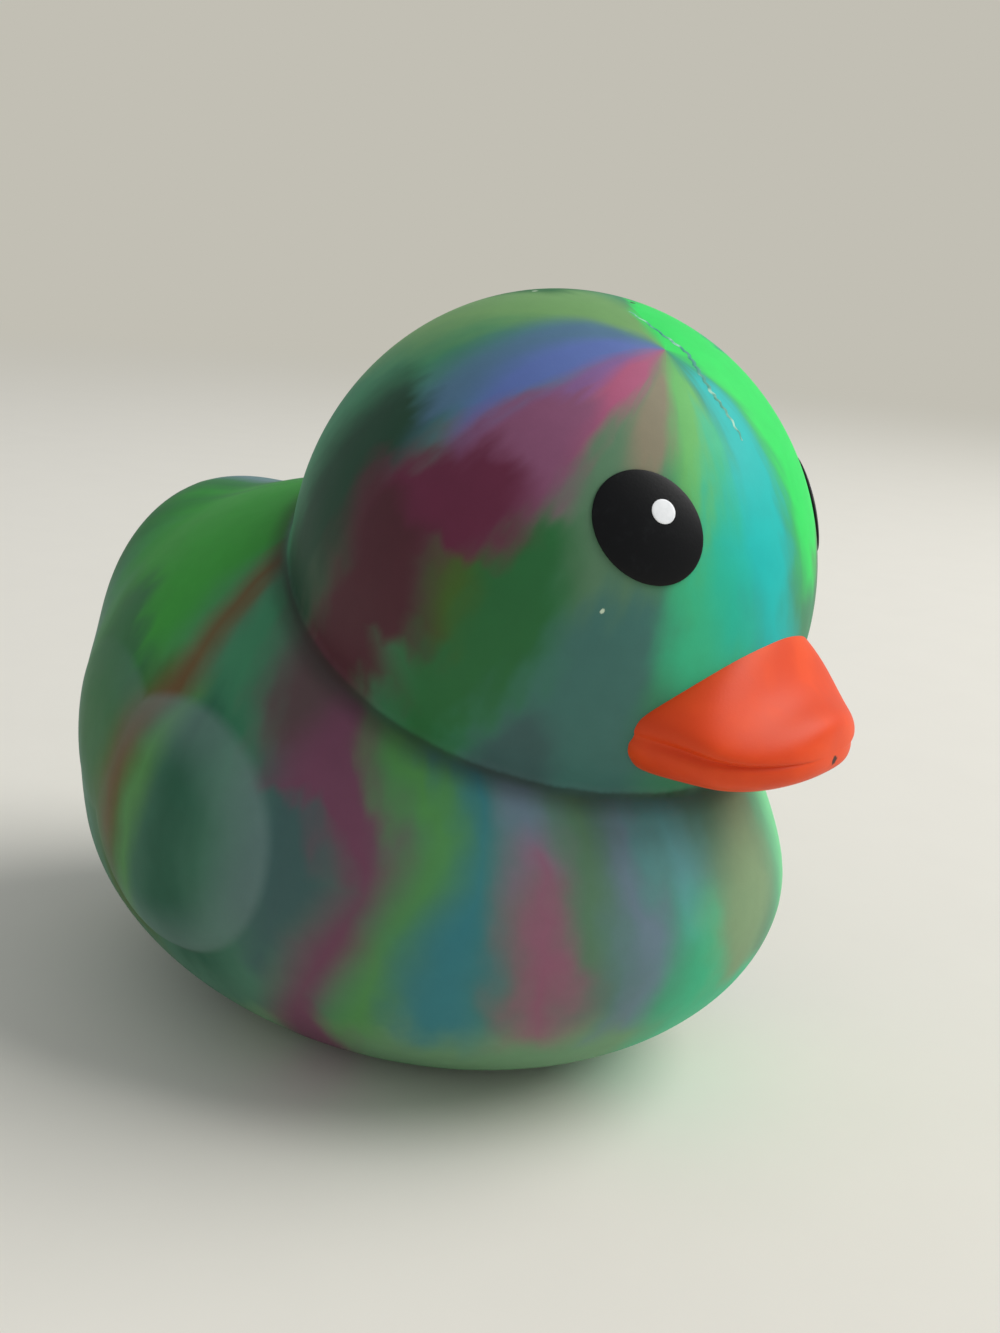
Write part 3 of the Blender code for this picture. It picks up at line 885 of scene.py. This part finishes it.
def marbled_silicone(streak_group, wing_group, mark_group, silky_group):
    """The skin's marbling: streaks from the gate over the head, and up and down the body."""
    made, shader = new_material("marbled_silicone")
    tree = made.node_tree
    place = object_place(tree)

    # Head: angle from the gate on the crown, and turn round it.
    front = Vector((0, -1, 0)) - GATE * GATE.dot(Vector((0, -1, 0)))
    front.normalize()
    left = GATE.cross(front)
    ray = vector_math(tree, "SUBTRACT", place, tuple(HEAD_CENTRE))
    unit = vector_math(tree, "NORMALIZE", ray)
    cosine = vector_math(tree, "DOT_PRODUCT", unit, tuple(GATE))
    away = math_node(tree, "DEGREES", math_node(tree, "ARCCOSINE", cosine))
    turn = math_node(tree, "ARCTAN2", vector_math(tree, "DOT_PRODUCT", ray, tuple(left)),
                     vector_math(tree, "DOT_PRODUCT", ray, tuple(front)))
    spread = smooth_step(tree, away, 0.0, GATE_BLEND, GATE_SPREAD, 0.0)
    ragged = waver(tree, turn, away, *HEAD_WAVER)
    head_colour = lay_streaks(
        tree, streak_group, linear("sea"), HEAD_STREAKS, math_node(tree, "ADD", away, ragged),
        math_node(tree, "ADD", math_node(tree, "DEGREES", turn), ragged), spread,
    )

    # Body: height, and turn round the upright axis.
    split = tree.nodes.new("ShaderNodeSeparateXYZ")
    tree.links.new(place, split.inputs[0])
    height = math_node(tree, "MULTIPLY", split.outputs["Z"], 1000.0)
    ahead = math_node(tree, "SUBTRACT", STREAK_AXIS_Y, split.outputs["Y"])
    turn = math_node(tree, "ARCTAN2", split.outputs["X"], ahead)
    ragged = waver(tree, turn, height, *BODY_WAVER)
    body_colour = lay_streaks(
        tree, streak_group, linear("sage"), BODY_STREAKS, math_node(tree, "ADD", height, ragged),
        math_node(tree, "ADD", math_node(tree, "DEGREES", turn), ragged),
    )

    # The head's colours end at the neck crease, which is darkened with painted shade.
    half = HEAD_SIZE / 2
    scaled = vector_math(tree, "MULTIPLY", ray, (1 / half.x, 1 / half.y, 1 / half.z))
    outside = vector_math(tree, "LENGTH", scaled)
    changed = smooth_step(tree, outside, *COLOUR_CHANGE)
    colour = mix_colour(tree, changed, head_colour, body_colour)
    # Painted shade: a darker band along the crease where the head meets the body.
    crease = math_node(tree, "MULTIPLY", smooth_step(tree, outside, *CREASE_SHADE_BEGIN),
                       smooth_step(tree, outside, *CREASE_SHADE_END, 1.0, 0.0))
    crease_shade = math_node(tree, "MULTIPLY", crease, CREASE_SHADE_SHARE)
    colour = mix_colour(tree, crease_shade, colour, linear("grime_and_crease_shade"))

    # The front of the wings is lightened with painted highlight, and the silicone holds a few specks
    # and a nick.
    wings = place_group(tree, wing_group, place=place)
    rim_highlight = math_node(tree, "MULTIPLY", wings.outputs["Rim"], RIM_HIGHLIGHT_SHARE)
    colour = mix_colour(tree, rim_highlight, colour, linear("painted_wing_highlight"))
    for name, spot, radius in SKIN_MARKS:
        mark = place_group(tree, mark_group, place=place, centre=spot, radius=radius)
        colour = mix_colour(tree, mark.outputs["Mask"], colour, linear(name))
    cloud = math_node(tree, "MULTIPLY_ADD", noise(tree, place, 420.0, 3.0, 0.6), 0.16, 0.92)
    colour = mix_colour(tree, 1.0, colour, cloud, "MULTIPLY")

    tree.links.new(colour, shader.inputs["Base Color"])
    shader.inputs["Subsurface Weight"].default_value = 0.25
    shader.inputs["Subsurface Radius"].default_value = (0.9, 1.0, 0.9)
    shader.inputs["Subsurface Scale"].default_value = 0.003
    shader.inputs["Specular IOR Level"].default_value = 0.28
    silky(tree, shader, silky_group, place, 0.5, 0.55, 0.00004)
    return made


def orange_silicone(mark_group, silky_group):
    made, shader = new_material("orange_silicone")
    tree = made.node_tree
    place = object_place(tree)
    patches = smooth_step(tree, noise(tree, place, 130.0, 3.0, 0.5), 0.35, 0.7, 0.5, 1.0)
    colour = mix_colour(tree, patches, linear("deep_orange"), linear("orange"))
    for name, spot, radius in BILL_MARKS:
        mark = place_group(tree, mark_group, place=place, centre=spot, radius=radius)
        colour = mix_colour(tree, mark.outputs["Mask"], colour, linear(name))
    tree.links.new(colour, shader.inputs["Base Color"])
    shader.inputs["Subsurface Weight"].default_value = 0.15
    shader.inputs["Subsurface Radius"].default_value = (1.0, 0.35, 0.1)
    shader.inputs["Subsurface Scale"].default_value = 0.002
    shader.inputs["Specular IOR Level"].default_value = 0.28
    silky(tree, shader, silky_group, place, 0.6, 0.5, 0.00005)
    return made


def black_silicone(silky_group):
    made, shader = new_material("black_silicone")
    tree = made.node_tree
    place = object_place(tree)
    dust = smooth_step(tree, noise(tree, place, 900.0, 4.0, 0.7), 0.5, 0.85, 0.0, 0.5)
    colour = mix_colour(tree, dust, linear("black"), linear("dust"))
    tree.links.new(colour, shader.inputs["Base Color"])
    shader.inputs["Specular IOR Level"].default_value = 0.18
    silky(tree, shader, silky_group, place, 0.8, 0.42, 0.00004)
    return made


def white_paint(silky_group):
    made, shader = new_material("white_paint")
    tree = made.node_tree
    place = object_place(tree)
    worn = smooth_step(tree, noise(tree, place, 1500.0, 2.0), 0.35, 0.8, 0.0, 0.5)
    colour = mix_colour(tree, worn, linear("white"), linear("worn_white"))
    tree.links.new(colour, shader.inputs["Base Color"])
    silky(tree, shader, silky_group, place, 0.3, 0.4, 0.00002)
    return made


def pale_flash(silky_group):
    made, shader = new_material("pale_flash")
    tree = made.node_tree
    place = object_place(tree)
    # Pale patches along the ridge: partly the thin silicone's own paler tone, partly a painted
    # highlight.
    thin = smooth_step(tree, noise(tree, place, 700.0, 2.0), 0.4, 0.65)
    colour = mix_colour(tree, thin, linear("teal"), linear("flash"))
    tree.links.new(colour, shader.inputs["Base Color"])
    silky(tree, shader, silky_group, place, 0.4, 0.5, 0.00003)
    return made


def floor_paper():
    """A pale floor that runs out into the backdrop's colour well behind the object."""
    made, shader = new_material("pale_floor")
    tree = made.node_tree
    place = object_place(tree)
    fibre = noise(tree, place, 60.0, 5.0, 0.6)
    shade = math_node(tree, "MULTIPLY_ADD", fibre, 0.04, 0.98)
    colour = mix_colour(tree, 1.0, linear("floor"), shade, "MULTIPLY")
    tree.links.new(colour, shader.inputs["Base Color"])
    shader.inputs["Roughness"].default_value = 0.8
    far = smooth_step(tree, vector_math(tree, "LENGTH", place), FLOOR_FADE, FLOOR_RADIUS)
    seen = tree.nodes.new("ShaderNodeLightPath").outputs["Is Camera Ray"]
    backdrop = tree.nodes.new("ShaderNodeEmission")
    backdrop.inputs["Color"].default_value = linear("backdrop")
    joined = tree.nodes.new("ShaderNodeMixShader")
    tree.links.new(math_node(tree, "MULTIPLY", far, seen), joined.inputs[0])
    tree.links.new(shader.outputs[0], joined.inputs[1])
    tree.links.new(backdrop.outputs[0], joined.inputs[2])
    tree.links.new(joined.outputs[0], tree.nodes["Material Output"].inputs["Surface"])
    return made


def dress(piece, material, node=None):
    piece.data.materials.clear()
    piece.data.materials.append(material)
    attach(piece, "root")
    if node:
        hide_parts(node)


# Stage: a pale floor, a soft window light from the front right of the picture, and the room's fill.

def make_stage():
    form = bmesh.new()
    bmesh.ops.create_circle(form, cap_ends=True, segments=96, radius=FLOOR_RADIUS)
    floor = object_from("floor", form)
    floor.data.materials.append(floor_paper())


def area_light(name, place, aim, size, power, colour):
    lamp = bpy.data.lights.new(name, "AREA")
    lamp.shape = "DISK"
    lamp.size = size
    lamp.energy = power
    lamp.color = colour
    holder = bpy.data.objects.new(name, lamp)
    bpy.context.scene.collection.objects.link(holder)
    holder.location = place
    holder.rotation_euler = (Vector(aim) - Vector(place)).to_track_quat("-Z", "Y").to_euler()
    holder.visible_camera = False


def make_lights():
    area_light("window", WINDOW_PLACE, WINDOW_AIM, WINDOW_SIZE, WINDOW_POWER, WINDOW_COLOUR)
    world = bpy.data.worlds.new("room")
    bpy.context.scene.world = world
    world.use_nodes = True
    tree = world.node_tree
    fill = tree.nodes["Background"]
    fill.inputs["Color"].default_value = FILL_COLOUR
    fill.inputs["Strength"].default_value = FILL_STRENGTH
    backdrop = tree.nodes.new("ShaderNodeBackground")
    backdrop.inputs["Color"].default_value = linear("backdrop")
    joined = tree.nodes.new("ShaderNodeMixShader")
    seen = tree.nodes.new("ShaderNodeLightPath").outputs["Is Camera Ray"]
    tree.links.new(seen, joined.inputs[0])
    tree.links.new(fill.outputs[0], joined.inputs[1])
    tree.links.new(backdrop.outputs[0], joined.inputs[2])
    tree.links.new(joined.outputs[0], tree.nodes["World Output"].inputs["Surface"])


def make_camera():
    """The photograph's viewpoint, from the front right and a little above."""
    view = bpy.data.cameras.new("camera")
    view.sensor_fit = "VERTICAL"
    view.sensor_height = SENSOR_HEIGHT
    view.lens = FOCAL_PIXELS / PICTURE_HEIGHT * SENSOR_HEIGHT
    view.clip_start = 0.001
    holder = bpy.data.objects.new("camera", view)
    bpy.context.scene.collection.objects.link(holder)
    up = CAMERA_BACK.cross(CAMERA_RIGHT).normalized()
    right = up.cross(CAMERA_BACK).normalized()
    pose = Matrix((right, up, CAMERA_BACK.normalized())).transposed().to_4x4()
    pose.translation = CAMERA_PLACE
    holder.matrix_world = pose
    bpy.context.scene.camera = holder


def main():
    streak_group = build_streak_group()
    silky_group = build_silky_group()
    mark_group = build_mark_group()
    marbled = marbled_silicone(streak_group, build_wing_group(), mark_group, silky_group)
    orange = orange_silicone(mark_group, silky_group)
    black = black_silicone(silky_group)
    white = white_paint(silky_group)

    dress(make_skin(), marbled, "body")
    dress(make_flash(), pale_flash(silky_group))
    dress(make_bill(), orange, "beak")
    dress(make_eye("domed_eye_right", -1), black, "eye_right")
    dress(make_eye("domed_eye_left", 1), black, "eye_left")
    dress(make_spot("eye_spot_right", -1), white)
    dress(make_spot("eye_spot_left", 1), white)

    make_stage()
    make_lights()
    make_camera()
    bpy.context.scene.view_settings.view_transform = "Standard"


main()
